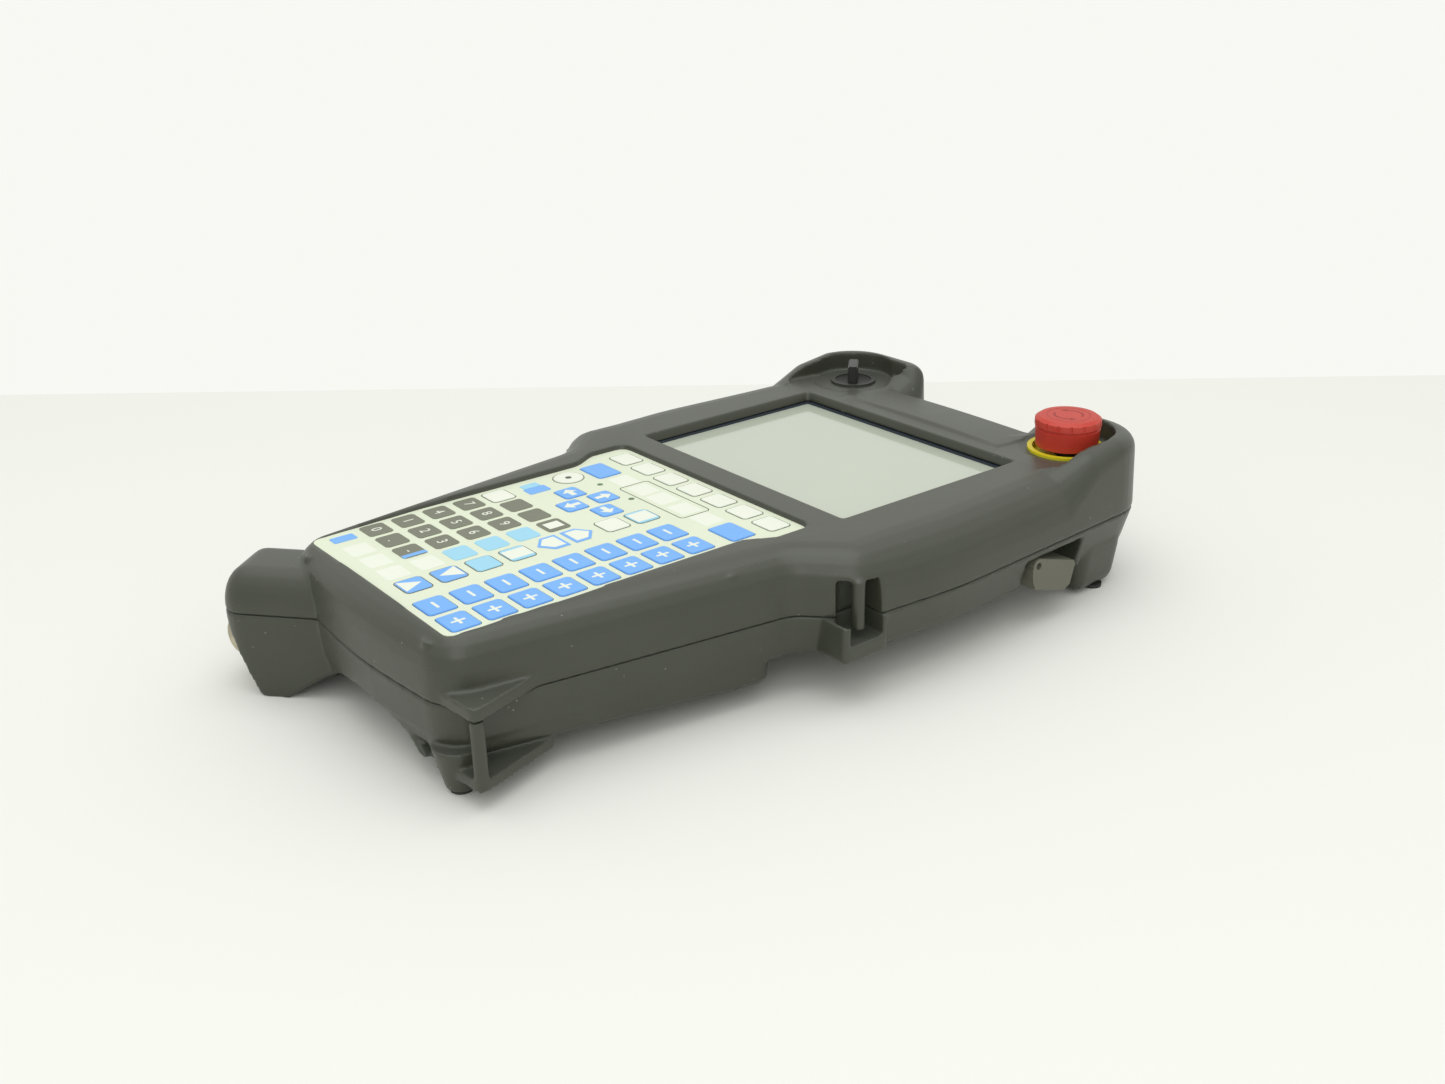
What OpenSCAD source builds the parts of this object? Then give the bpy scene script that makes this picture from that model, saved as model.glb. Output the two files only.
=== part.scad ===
// Hand-held control pendant: two moulded case halves round a screen, a membrane keypad,
// a mushroom stop button, a rotary enable switch and a squeeze lever under each hand.
// Millimetres. +Z is up from the surface it lies on, +Y runs from the keypad to the two ears.

/* [Case] */
// Greatest width, across the screen
case_w = 209.4; // [200:1:256]
// Length from the bottom end wall to the ends of the ears
case_l = 340.3; // [334:1:412]
// Height of the deck above the surface it rests on
deck_z = 60; // [58:1:72]
// Height of the joint between the two case halves
part_z = 35; // [33:1:38]
// Width of the grip at the bottom end
grip_w = 123.6; // [120:1:130]
// Width of the grip where it meets the shoulders
grip_top_w = 163.2; // [160:1:172]
// Wall thickness of the mouldings
wall = 2.8; // [2:0.1:3.4]
// Top edge radius along the keypad
grip_roll = 13; // [9:0.5:13.5]
// Top edge radius along the screen
wide_roll = 17; // [12:0.5:18]
// Height of the guard rims round the ears above the deck
rim_h = 8; // [5:0.5:10]
// Underside of the wide half above the surface
belly_z = 17; // [15:0.5:19]

/* [Screen] */
// Width of the screen opening
screen_w = 134; // [110:1:136]
// Length of the screen opening
screen_l = 99.6; // [80:0.2:100]
// Thickness of the touch panel
touch_t = 1.8; // [1.1:0.1:2.5]
// Thickness of the display module
lcd_t = 7.5; // [5:0.5:8]

/* [Keypad] */
// Width of a jog key
key_w = 13.6; // [10:0.1:14]
// Length of a jog key
key_l = 11.3; // [9:0.1:12]
// Jog key pitch across
jog_px = 16.5; // [16:0.1:17]
// Jog key pitch along
jog_py = 14.4; // [13:0.1:14.6]
// Travel of a key
key_travel = 0.4; // [0.2:0.05:0.5]
// Depth of the film below the deck
film_drop = 2; // [1.2:0.1:2.4]
// Thickness of the film
film_t = 0.8; // [0.4:0.1:1]

/* [Stop button] */
// Diameter of the mushroom head
stop_d = 28.8; // [24:0.2:29]
// Travel of the stop button
stop_travel = 4; // [3:0.5:4.5]
// Diameter of the threaded neck
stop_neck_d = 22; // [20:0.5:24]

/* [Enable switch] */
// Diameter of the turning disc
enable_d = 18.2; // [16:0.2:18.6]
// Length of the blade handle
blade_l = 15; // [12:0.5:16]
// Width of the blade handle
blade_w = 4.9; // [3:0.1:6]

/* [Squeeze levers] */
// Width of a lever along the case
lever_l = 24; // [20:0.5:25]
// Reach of a lever under the case
lever_reach = 46; // [30:1:47]
// Lever angle at rest below level
lever_tilt = 17; // [15:0.5:18]

/* [Connector] */
// Outer diameter of the threaded barrel
barrel_d = 16; // [14:0.5:20]
// Length of the barrel beyond its flange
barrel_l = 6.5; // [4:0.5:9]

/* [Fastening] */
// Case screw shank diameter
screw_d = 3; // [2.5:0.1:3.5]

/* [Hidden] */
$fn = 32;

fit = 0.05;                       // radial running fit of a shaft in its bore
hole_fit = 0.2;                   // radial clearance of a moulded hole round a fixed part
gap = 0.35;                       // clearance round a part that moves in a window
part_gap = 0.5;                   // chamfer that shows as the seam
bottom_y = -22;                   // bottom end wall
end_y = bottom_y + case_l;        // ends of the ears
ear_x = case_w / 2 - 36.1;        // centres of the two ear controls
ear_y = end_y - 28.5;
ear_floor = deck_z - 1.4;         // recessed floor of the ears
deck_t = 4.4;                     // thickness of the deck
under_z = deck_z - deck_t;        // underside of the deck
wall_draft = 0.04;                // outward lean of the upper walls, per mm
screen_y = (158.5 + 258.1) / 2 + (case_l - 340.3) / 2;
inner_y = ear_y + 1.5;            // end wall beside the ears

// The case outline at the joint, right half from the bottom centre to the top centre:
// each corner is x, y, its radius and the number of steps in its arc
RIGHT = [
    [0, bottom_y, 300, 4],
    [grip_w / 2, bottom_y + 5.8, 16, 7],
    [grip_top_w / 2, 120, 14, 5],
    [case_w / 2 - 3.5, 138.2, 19, 5],
    [case_w / 2, 186, 200, 4],
    [case_w / 2 - 8.3, end_y, 26, 9],
    [ear_x - 29.1, end_y, 16.5, 8],
    [ear_x - 36.1, inner_y, 6, 5],
    [0, ear_y + 10.5, 60, 6]
];
OUTLINE = concat(RIGHT, [for (i = [7:-1:1]) [-RIGHT[i][0], RIGHT[i][1], RIGHT[i][2], RIGHT[i][3]]]);

function unit(v) = v / norm(v);
function cross2(a, b) = a[0] * b[1] - a[1] * b[0];
function clamp(v) = min(1, max(0, v));
function smooth(v) = let (t = clamp(v)) t * t * (3 - 2 * t);
function mix(a, b, t) = a + (b - a) * t;

// Points round a chain of corners, each with its outward normal: [x, y, nx, ny]
function arcs(c) = [
    for (i = [0:len(c) - 1])
        let (
            here = c[i],
            before = c[(i + len(c) - 1) % len(c)],
            after = c[(i + 1) % len(c)],
            p = [here[0], here[1]],
            u = unit([before[0], before[1]] - p),
            v = unit([after[0], after[1]] - p),
            side = cross2(-u, v) > 0 ? 1 : -1,
            half = acos(u * v) / 2,
            centre = p + unit(u + v) * here[2] / sin(half),
            start = p + u * here[2] / tan(half) - centre,
            a0 = atan2(start[1], start[0]),
            turn = 180 - 2 * half
        )
        for (k = [0:here[3]])
            let (a = a0 + side * turn * k / here[3])
            [centre[0] + here[2] * cos(a), centre[1] + here[2] * sin(a), side * cos(a), side * sin(a)]
];

// Extra points so that no straight is longer than step
function split(pts, step) = [
    for (i = [0:len(pts) - 1])
        let (
            a = pts[i],
            b = pts[(i + 1) % len(pts)],
            n = max(1, ceil(norm([b[0] - a[0], b[1] - a[1]]) / step))
        )
        for (k = [0:n - 1]) a + (b - a) * k / n
];

CASE = split(arcs(OUTLINE), 19);

// Closed skin through rings of points, from the bottom ring to the top one
module skin(rings) {
    n = len(rings[0]);
    m = len(rings);
    polyhedron(
        points = [for (r = rings) for (p = r) p],
        faces = concat(
            [[for (i = [0:n - 1]) i]],
            [for (j = [0:m - 2]) for (i = [0:n - 1]) [j * n + i, (j + 1) * n + (i + 1) % n, j * n + (i + 1) % n]],
            [for (j = [0:m - 2]) for (i = [0:n - 1]) [j * n + i, (j + 1) * n + i, (j + 1) * n + (i + 1) % n]],
            [[for (i = [n - 1:-1:0]) (m - 1) * n + i]]
        ),
        convexity = 8
    );
}

function inset(p, d, z) = [p[0] - p[2] * d, p[1] - p[3] * d, z];

// How far a point of the outline belongs to an ear's guard rim, 0 to 1
function rim(p) =
    let (
        ax = abs(p[0]),
        t = clamp((ax - ear_x + 34) / 30),
        y0 = mix(ear_y + 3, ear_y - 36, t),
        span = mix(20, 32, t)
    )
    smooth((p[1] - y0) / span) * clamp((ax - ear_x + 37.5) / 9);
function top_of(p) = deck_z + rim_h * rim(p);
function roll_of(p) = mix(mix(grip_roll, wide_roll, smooth((p[1] - 118) / 50)), 6.5, rim(p));
function lean(z) = max(0, z - part_z - part_gap) * wall_draft;
// Inset of the outer skin at a height
function skin_inset(p, z) =
    let (r = roll_of(p), up = max(0, z - top_of(p) + r))
    lean(z) + r - sqrt(max(0, r * r - up * up));

function roll_ring(p, a) =
    let (r = roll_of(p), z = top_of(p) - r + r * sin(a))
    inset(p, lean(z) + r * (1 - cos(a)), z);
function rim_ring(p, d, z) = inset(p, lean(z) + roll_of(p) + d, z);

// Lower half: the wide end leans in more than the grip
function lean_low(p) = mix(grip_draft, 0.27, smooth((p[1] - 112) / 24));
function low_ring(p, z, d) = inset(p, lean_low(p) * (part_z - z) + d, z);

module placed() translate([0, -mid_y, 0]) children();
module both_sides() {
    children();
    mirror([1, 0, 0]) children();
}
module tube_z(d, z0, z1) translate([0, 0, z0]) cylinder(d = d, h = z1 - z0);
module box(x0, x1, y0, y1, z0, z1) translate([x0, y0, z0]) cube([x1 - x0, y1 - y0, z1 - z0]);
// Rounded plate in plan
module plate(w, l, r, z0, z1) {
    translate([0, 0, z0]) linear_extrude(z1 - z0) rounded(w, l, r);
}
module rounded(w, l, r) {
    polygon([for (q = arcs([[-w / 2, -l / 2, r, 3], [w / 2, -l / 2, r, 3], [w / 2, l / 2, r, 3], [-w / 2, l / 2, r, 3]]))
        [q[0], q[1]]]);
}

// ---- connector block: a prow that leaves the bottom left corner at a slant ----
prow_x = -76.75;                  // middle of its end face at the joint
prow_y = -32.5;
prow_a = 221;                     // direction it points in
prow_w = 36;
prow_r = 10;                      // radius of its upright edges
prow_top = deck_z - 8.5;
prow_foot = 13.6;                 // the end face leans in by this much at the bottom
prow_lean = atan(prow_foot / part_z);
conn_z = 20;
conn_x = -prow_foot * (part_z - conn_z) / part_z;
flange_t = 1.5;
conn_out = barrel_l + flange_t;
mouth_floor = 2.5;                // where the inside of the barrel steps down to the insert
prow_low = prow_y + prow_r * (sin(prow_a - 180) + cos(prow_a - 180) - 1) - prow_w / 2 * cos(prow_a - 180);
conn_low = prow_y - sin(prow_a - 180) * (conn_x + conn_out * cos(prow_lean))
    - barrel_d / 2 * sqrt(1 - pow(cos(prow_lean) * sin(prow_a - 180), 2));
mid_y = (end_y + min(prow_low, conn_low)) / 2;

PROW = split(arcs([
    [-58, -prow_w / 2, 3, 2], [0, -prow_w / 2, prow_r, 8], [0, prow_w / 2, prow_r, 8], [-58, prow_w / 2, 3, 2]
]), 30);
module on_prow() translate([prow_x, prow_y, 0]) rotate([0, 0, prow_a]) children();
module on_conn() on_prow() translate([conn_x, 0, conn_z]) rotate([0, 90 + prow_lean, 0]) children();
function prow_ring(a) =
    let (rh = prow_r - 0.2, z0 = part_z + part_gap, rv = prow_top - z0)
    [for (p = PROW) inset(p, rh * (1 - cos(a)), z0 + rv * sin(a))];
module prow_upper() on_prow() skin([
    [for (p = PROW) inset(p, part_gap, part_z)],
    for (a = [0:15:75]) prow_ring(a),
    [for (p = PROW) inset(p, prow_r - 0.3, prow_top)]
]);
module prow_upper_hollow() on_prow() skin([
    for (s = [[wall, part_z - 1], [wall + 0.6, prow_top - 11], [wall + 3, prow_top - 5], [wall + 6, prow_top - wall]])
        [for (p = PROW) inset(p, s[0], s[1])]
]);
// Side view of the lower block: wide at the joint, narrow where it stands
module prow_side(d) {
    polygon([[-d, part_z + 1], [-d, part_z], [-prow_foot - d * 0.8, d], [-prow_foot - 12 + d, d],
             [-60, belly_z + 4 + d], [-60, part_z + 1]]);
}
module prow_lower(d, top) on_prow() intersection() {
    translate([0, prow_w / 2, 0]) rotate([90, 0, 0]) linear_extrude(prow_w) prow_side(d);
    translate([0, 0, -1]) linear_extrude(top + 1)
        polygon([for (p = PROW) [p[0] - p[2] * (d > 0 ? d : 0.01), p[1] - p[3] * (d > 0 ? d : 0.01)]]);
}

// ---- keypad ----
film_z = deck_z - film_drop;
film_w = 114;
film_wide = 127;
film_y0 = -9;
film_y1 = 145;
jog_x = 29.5;
KEYS_JOG = [for (c = [0:1], r = [0:7]) [jog_x + c * jog_px, r * jog_py, key_w, key_l]];
KEYS_SHIFT = [[-45.4, 119.9, 16.4, 11.3], [45.4, 119.9, 16.4, 11.3]];
KEYS_ARROW = [[-31.5, 95.5, 11, 10], [-18.8, 88.3, 11, 10], [-18.8, 103.4, 11, 10], [-5.3, 96, 11, 10]];
KEYS_MOVING = concat(KEYS_JOG, KEYS_SHIFT, KEYS_ARROW);
LEDS = [[-31.8, 110.6], [-9.4, 111]];
key_top = film_z + 0.35;
key_under = film_z - film_t - 0.2;
dome_h = key_under - under_z - key_travel - 0.3;
FILM = arcs([
    [-54.5, film_y0, 4, 5], [54.5, film_y0, 4, 5], [film_w / 2, 40, 30, 2], [film_w / 2, 116, 12, 4],
    [film_wide / 2, 127, 8, 4], [film_wide / 2, film_y1, 5, 5],
    [-film_wide / 2, film_y1, 5, 5], [-film_wide / 2, 127, 8, 4], [-film_w / 2, 116, 12, 4], [-film_w / 2, 40, 30, 2]
]);
module film_shape(d) polygon([for (p = FILM) [p[0] - p[2] * d, p[1] - p[3] * d]]);
module key_windows(d, z0, z1) {
    for (k = KEYS_MOVING) translate([k[0], k[1], 0]) plate(k[2] + 2 * d, k[3] + 2 * d, 1.4 + d, z0, z1);
}
// Window through a moulding, its four corners round
module moulded_window(w, l, r, z0, z1) {
    hull() for (x = [-1, 1], y = [-1, 1])
        translate([x * (w / 2 - r), y * (l / 2 - r), z0]) cylinder(r = r, h = z1 - z0, $fn = 12);
}

// ---- stop button ----
ring_d = 34;
ring_top = ear_floor + 1.2;
head_bottom = ring_top + 1;
head_top = head_bottom + 13.4;
well_d = stop_d + 0.9;
cup_wall = 1.7;                   // both walls of the collar's cup together
well_floor = head_bottom - stop_travel - 0.6;
cup_bottom = well_floor - 1.4;
boss_bottom = cup_bottom - 2.8;
neck_bottom = boss_bottom - 10;
shaft_d = 10;

// ---- enable switch ----
bezel_d = 22.3;
bezel_neck = 20;
disc_z = ear_floor + 0.8;
disc_floor = ear_floor - 2;
enable_neck_bottom = under_z - 9;
stem_d = 8;

// ---- squeeze levers ----
hinge_y = ear_y - 52.8;
hinge_z = part_z - 7;
lever_out = case_w / 2 - 3.7;     // outer end of a lever
lever_up = 3.2;                   // top face above the hinge axis
lever_t = 13.5;
pin_d = 3;
bay_in = lever_out - lever_reach - 1.6;
bay_y0 = hinge_y - 7.5;
bay_y1 = hinge_y + lever_l + 6.5;
bay_top = part_z - 3.2;
push_x = case_w / 2 - 28;
push_y = hinge_y + 14;
push_d = 3;
push_rest = hinge_z + lever_up / cos(lever_tilt) - 14 * tan(lever_tilt);
switch_w = 12;
switch_l = 18;
switch_z0 = bay_top + 1.9;

// ---- screws and boards ----
head_seat = 21;
foot_x = 55.5;                    // feet under the bottom end
head_hole = 2 * screw_d + 0.6;    // counterbore for a screw head
BOSSES = [[48, bottom_y + 10.3], [-46, bottom_y + 10.3], [71.5, 98], [-71.5, 98], [case_w / 2 - 16, 172],
          [16 - case_w / 2, 172], [40, ear_y - 8.5], [-40, ear_y - 8.5]];
boss_d = 7;
board_z = part_z + 2;
board_t = 1.6;
POSTS = [[-40, 20], [40, 20], [-40, 128], [40, 128], [-38, screen_y + 40], [38, screen_y + 40]];

// ---- side port, left ----
port_y0 = 52;
port_l = 50;
port_z = 43.5;
port_h = 11;
function grip_x(y) = mix(grip_w / 2, grip_top_w / 2, (y - bottom_y - 5.8) / (120 - bottom_y - 5.8));
port_turn = atan((grip_top_w - grip_w) / 2 / (120 - bottom_y - 5.8));
cover_lift = 3;                   // the soft flap rests a little open

// ---- strap bars ----
bar_d = 5.2;
anchor = [72.6, -10.4];
shoulder = [case_w / 2 - 7.2, 138.4];

module anchor_plate(z0, z1) {
    translate([0, 0, z0]) linear_extrude(z1 - z0) hull() {
        translate(anchor) circle(d = bar_d, $fn = 32);
        translate([50, bottom_y + 15]) circle(d = 17, $fn = 32);
        translate([61, 20]) circle(d = 9, $fn = 32);
    }
}

// Slots either side of the bar at a shoulder, and the space behind it
module shoulder_slots(z0, z1) {
    translate([0, 0, z0]) linear_extrude(z1 - z0) difference() {
        polygon([shoulder + [-7.6, -9.3], shoulder + [4.6, -9.3], shoulder + [9, 8.4], shoulder + [-7.6, 8.4]]);
        polygon([shoulder + [-7.6, -9.4], shoulder + [-2, -9.4], shoulder + [-7.6, -4.2]]);
    }
}

module upper_skin() skin([
    [for (p = CASE) inset(p, part_gap, part_z)],
    [for (p = CASE) inset(p, 0, part_z + part_gap)],
    for (a = [0, 22, 40, 56, 73, 90]) [for (p = CASE) roll_ring(p, a)],
    [for (p = CASE) rim_ring(p, 0.6 + 1.4 * rim(p), top_of(p))],
    [for (p = CASE) rim_ring(p, 1.2 + 2.2 * rim(p), deck_z)]
]);

module front_housing() placed() color([0.31, 0.33, 0.29]) {
    difference() {
        union() {
            difference() {
                union() {
                    upper_skin();
                    prow_upper();
                }
                skin([for (z = [part_z - 1, 46, 51, under_z])
                    [for (p = CASE) inset(p, skin_inset(p, max(z, part_z)) + wall, z)]]);
                prow_upper_hollow();
            }
            anchor_plate(part_z, part_z + 5);
            crown();
            for (b = BOSSES) translate(b) tube_z(boss_d, part_z + 1, under_z + 0.5);
            both_sides() translate([ear_x, ear_y, 0]) tube_z(ring_d + 5, boss_bottom, under_z + 0.5);
            intersection() {
                upper_skin();
                both_sides() translate(shoulder + [-3, 0]) plate(17, 24, 2, part_z, part_z + 18);
            }
        }
        // keypad recess, key and lamp windows
        translate([0, 0, film_z - film_t]) linear_extrude(9) film_shape(-0.15);
        for (k = KEYS_MOVING) translate([k[0], k[1], 0])
            moulded_window(k[2] + 2 * gap, k[3] + 2 * gap, 1.6, under_z - 1, film_z);
        for (l = LEDS) translate(l) tube_z(2.6, under_z - 1, film_z);
        screen_window();
        // ear floors
        both_sides() translate([ear_x, ear_y, ear_floor]) cylinder(d = ring_d + 6.5, h = 20);
        both_sides() translate([ear_x, ear_y, ear_floor]) rotate([-2.6, 0, 0]) translate([0, -14, 0])
            linear_extrude(9) rounded(ring_d + 4, 34, 8);
        // stop button neck and cup, enable switch neck
        translate([ear_x, ear_y, 0]) tube_z(well_d + cup_wall + 2 * hole_fit, cup_bottom, deck_z);
        translate([ear_x, ear_y, 0]) tube_z(stop_neck_d + 2 * hole_fit, boss_bottom - 1, deck_z);
        translate([-ear_x, ear_y, 0]) tube_z(bezel_neck + 2 * hole_fit, boss_bottom - 1, deck_z);
        for (b = BOSSES) translate(b) tube_z(screw_d, part_z - 1, under_z - 4);
        both_sides() shoulder_slots(part_z - 3, part_z + 14.5);
        port_window();
    }
    both_sides() translate(shoulder) tube_z(bar_d, part_z - 5, part_z + 15);
}

// Slightly raised, crowned band behind the screen
module crown() {
    half = ear_x - 8;
    translate([0, screen_y + screen_l / 2 + 8.2, deck_z - 0.6]) rotate([-3.2, 0, 0]) rotate([90, 0, 0])
        translate([0, 0, -26]) linear_extrude(26)
        polygon([[-half, 0], for (k = [-8:8]) [k * half / 8, 0.55 + 1.35 * (1 - pow(k / 8, 2))], [half, 0]]);
}

module screen_window() {
    translate([0, screen_y, 0]) hull() {
        plate(screen_w - 4, screen_l - 4, 1.2, under_z - 1, under_z - 0.9);
        plate(screen_w + 0.8, screen_l + 0.8, 1.6, deck_z + 0.9, deck_z + 1);
    }
}

module rear_housing() placed() color([0.30, 0.32, 0.27]) {
    difference() {
        union() {
            difference() {
                union() {
                    skin([
                        [for (p = CASE) low_ring(p, belly_z, 3.4)],
                        [for (p = CASE) low_ring(p, belly_z + 1.2, 1)],
                        [for (p = CASE) low_ring(p, belly_z + 3.6, 0)],
                        [for (p = CASE) low_ring(p, part_z - part_gap, 0)],
                        [for (p = CASE) inset(p, part_gap, part_z)]
                    ]);
                    grip_skin(0, belly_z + 8);
                    prow_lower(0, part_z);
                }
                skin([
                    [for (p = CASE) low_ring(p, belly_z + wall, wall + 1.5)],
                    [for (p = CASE) low_ring(p, part_z + 1, wall)]
                ]);
                grip_skin(wall, belly_z + 9);
                prow_lower(wall, part_z + 1);
                end_arch();
            }
            end_arch_web();
            both_sides() ear_post();
            translate([-foot_x, -4.5, 0]) tube_z(10, 1.5, belly_z + 4);
            translate([foot_x, -9.5, 1.5]) cylinder(d1 = 11, d2 = 19, h = belly_z);
            translate(BOSSES[1]) tube_z(head_hole + 2.4, belly_z - 7, belly_z);
            anchor_plate(8, 12);
            translate(anchor) tube_z(bar_d, 9, part_z - 0.6);
            for (b = BOSSES) translate(b) {
                tube_z(boss_d, floor_z(b[1]), part_z);
                tube_z(head_hole + 2.4, floor_z(b[1]), head_seat + 1.6);
            }
            for (p = POSTS) translate(p) tube_z(6.4, floor_z(p[1]), board_z);
            both_sides() bay_block();
            both_sides() translate(shoulder + [-3, 0]) moulded_window(17, 22, 2, belly_z + 3, part_z - 0.2);
        }
        both_sides() bay();
        both_sides() translate([0, hinge_y, hinge_z]) rotate([0, 90, 0])
            translate([0, 0, bay_in - 4]) cylinder(d = pin_d + 2 * fit, h = lever_out - bay_in + 3);
        both_sides() translate([push_x, push_y, 0]) tube_z(push_d + 2 * fit, bay_top - 1, part_z + 1);
        for (b = BOSSES) translate(b) {
            tube_z(screw_d + 0.5, 0, part_z + 2);
            tube_z(head_hole, 0, head_seat);
        }
        for (p = POSTS) translate(p) moulded_window(2.6, 2.6, 1.2, belly_z + 4, board_z + 1);
        both_sides() shoulder_slots(part_z - 8.5, part_z + 2);
        on_conn() translate([0, 0, -12]) cylinder(d = barrel_d - 2 + 2 * hole_fit, h = 20);
    }
}

// Deeper belly under the keypad, closed by a sloping floor
grip_draft = 0.06;                // inward lean of the lower grip walls, per mm
grip_step = 0.4;                  // the deeper belly sits just inside the grip walls
function grip_floor(y) = mix(14, 7.5, (y - bottom_y) / (116 - bottom_y));
function floor_z(y) = y < 116 ? grip_floor(y) + 1 : belly_z + 0.5;
GRIP = split(arcs([
    [0, bottom_y, 300, 4], [grip_w / 2, bottom_y + 5.8, 18, 7], [grip_top_w / 2 - 0.6, 116, 9, 4],
    [0.6 - grip_top_w / 2, 116, 9, 4], [-grip_w / 2, bottom_y + 5.8, 18, 7]
]), 24);
module grip_skin(d, top) skin([
    [for (p = GRIP) let (q = inset(p, grip_draft * (part_z - 10) + d + grip_step + 2.6, 0)) [q[0], q[1], grip_floor(q[1]) + d]],
    [for (p = GRIP) let (q = inset(p, grip_draft * (part_z - 10) + d + grip_step, 0)) [q[0], q[1], grip_floor(q[1]) + d + 2.4]],
    [for (p = GRIP) inset(p, grip_draft * (part_z - top) + d + grip_step, top)]
]);
// The bottom end wall is arched up between the connector block and the foot
module end_arch() {
    translate([2, bottom_y + 16, -44]) rotate([90, 0, 0]) cylinder(r = 65, h = 40, $fn = 96);
}
module end_arch_web() {
    translate([2, bottom_y + 20, -44]) rotate([90, 0, 0]) difference() {
        intersection() {
            cylinder(r = 65 + wall, h = 15, $fn = 96);
            translate([-50, 53, 0]) cube([98, 20, 15]);
        }
        translate([0, 0, 4]) cylinder(r = 65, h = 40, $fn = 96);
    }
}

// The ears stand on a tapered post at their outer corner
POST = arcs([
    [ear_x + 8, ear_y - 20, 7, 4], [case_w / 2 - 7.5, ear_y - 20, 7, 4], [case_w / 2 - 9, ear_y + 8, 10, 4],
    [ear_x + 14, ear_y + 22.5, 8, 4], [ear_x + 3, ear_y + 21, 7, 4]
]);
module ear_post() skin([
    [for (p = POST) inset(p, 6.6, 1.5)],
    [for (p = POST) inset(p, 4, 2.8)],
    [for (p = POST) inset(p, 2.6, 6)],
    [for (p = POST) inset(p, 0.8, belly_z + 2)],
    [for (p = POST) inset(p, 0.6, belly_z + 6)]
]);

module bay_block() {
    box(bay_in - 3, case_w / 2 - 9, bay_y0 - 3, bay_y1 + 3, belly_z + 0.4, bay_top + 1.9);
}
// Side and bottom opening for a squeeze lever
module bay() {
    translate([(bay_in + case_w / 2 + 12) / 2, (bay_y0 + bay_y1) / 2, 0])
        moulded_window(case_w / 2 + 12 - bay_in, bay_y1 - bay_y0, 1.5, -1, bay_top);
}

module case_gasket() placed() color([0.16, 0.16, 0.15]) {
    linear_extrude_ring(part_z + 0.2, part_z + 1.4, wall + 0.5, wall + 1.9);
}
module linear_extrude_ring(z0, z1, d0, d1) {
    translate([0, 0, z0]) linear_extrude(z1 - z0) difference() {
        polygon([for (p = CASE) [p[0] - p[2] * d0, p[1] - p[3] * d0]]);
        polygon([for (p = CASE) [p[0] - p[2] * d1, p[1] - p[3] * d1]]);
        for (b = BOSSES) translate(b) circle(d = boss_d + 1);
        both_sides() translate(shoulder + [-3, 0]) square([18.5, 25.5], center = true);
        both_sides() translate([push_x, push_y]) square([switch_w + 1, switch_l + 1], center = true);
        translate([38, bottom_y]) square([32, 50]);
        translate([-88, -44]) square([42, 48]);
        translate([-90, port_y0 - 6]) square([30, port_l + 12]);
    }
}

module keypad_overlay() placed() color([0.90, 0.93, 0.84]) {
    difference() {
        translate([0, 0, film_z - film_t]) linear_extrude(film_t) film_shape(0);
        key_windows(gap, film_z - 2, film_z + 1);
        for (l = LEDS) translate(l) tube_z(2.6, film_z - 2, film_z + 1);
    }
}
module keypad_board() placed() color([0.10, 0.34, 0.22]) {
    translate([0, 0, under_z - board_t]) linear_extrude(board_t) difference() {
        film_shape(2.5);
        for (b = BOSSES) translate(b) circle(d = boss_d + 1);
    }
}
module key_domes() placed() color([0.8, 0.8, 0.78]) {
    for (k = KEYS_MOVING) translate([k[0], k[1], under_z]) cylinder(d = 6, h = dome_h, $fn = 24);
}
module status_leds() placed() color([0.35, 0.5, 0.35]) {
    for (l = LEDS) translate(l) tube_z(2.4, under_z, film_z + 0.1);
}

module moving_key(k) placed() translate([k[0], k[1], 0]) {
    plate(k[2], k[3], 1.4, key_under, key_top - 0.2);
    plate(k[2] - 0.6, k[3] - 0.6, 1.2, key_top - 0.2, key_top);
}

module display_frame() placed() color([0.12, 0.14, 0.16]) translate([0, screen_y, 0]) {
    difference() {
        plate(screen_w + 8, screen_l + 8, 2, under_z - 0.8, under_z);
        plate(screen_w - 5, screen_l - 5, 1, under_z - 2, under_z + 1);
    }
}
module touch_panel() placed() color([0.77, 0.80, 0.74]) translate([0, screen_y, 0]) {
    plate(screen_w + 6, screen_l + 6, 2, under_z - 0.8 - touch_t, under_z - 0.8);
}
module lcd_module() placed() color([0.45, 0.46, 0.44]) translate([0, screen_y, 0]) {
    plate(screen_w + 7, screen_l + 7, 1.5, under_z - 0.8 - touch_t - lcd_t, under_z - 0.8 - touch_t);
}
module main_board() placed() color([0.08, 0.32, 0.20]) {
    difference() {
        union() {
            box(-47, 47, 8, screen_y + 46, board_z, board_z + board_t);
            box(-66, 66, 132, screen_y + 6, board_z, board_z + board_t);
        }
        for (p = POSTS) translate(p) tube_z(2.9, board_z - 1, board_z + 3);
    }
}
module board_components() placed() color([0.14, 0.14, 0.15]) {
    top = board_z + board_t;
    translate([0, 170, 0]) plate(27, 27, 1, top, top + 2.4);
    translate([30, 190, 0]) plate(20, 14, 1, top, top + 2);
    translate([-34, 188, 0]) plate(14, 20, 1, top, top + 2);
    translate([-20, 60, 0]) plate(12, 20, 1, top, top + 3);
    translate([20, 56, 0]) plate(16, 10, 1, top, top + 4.5);
    for (k = [0:3]) translate([-30 + k * 20, 100, 0]) tube_z(8, top, top + 6.5);
}

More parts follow.
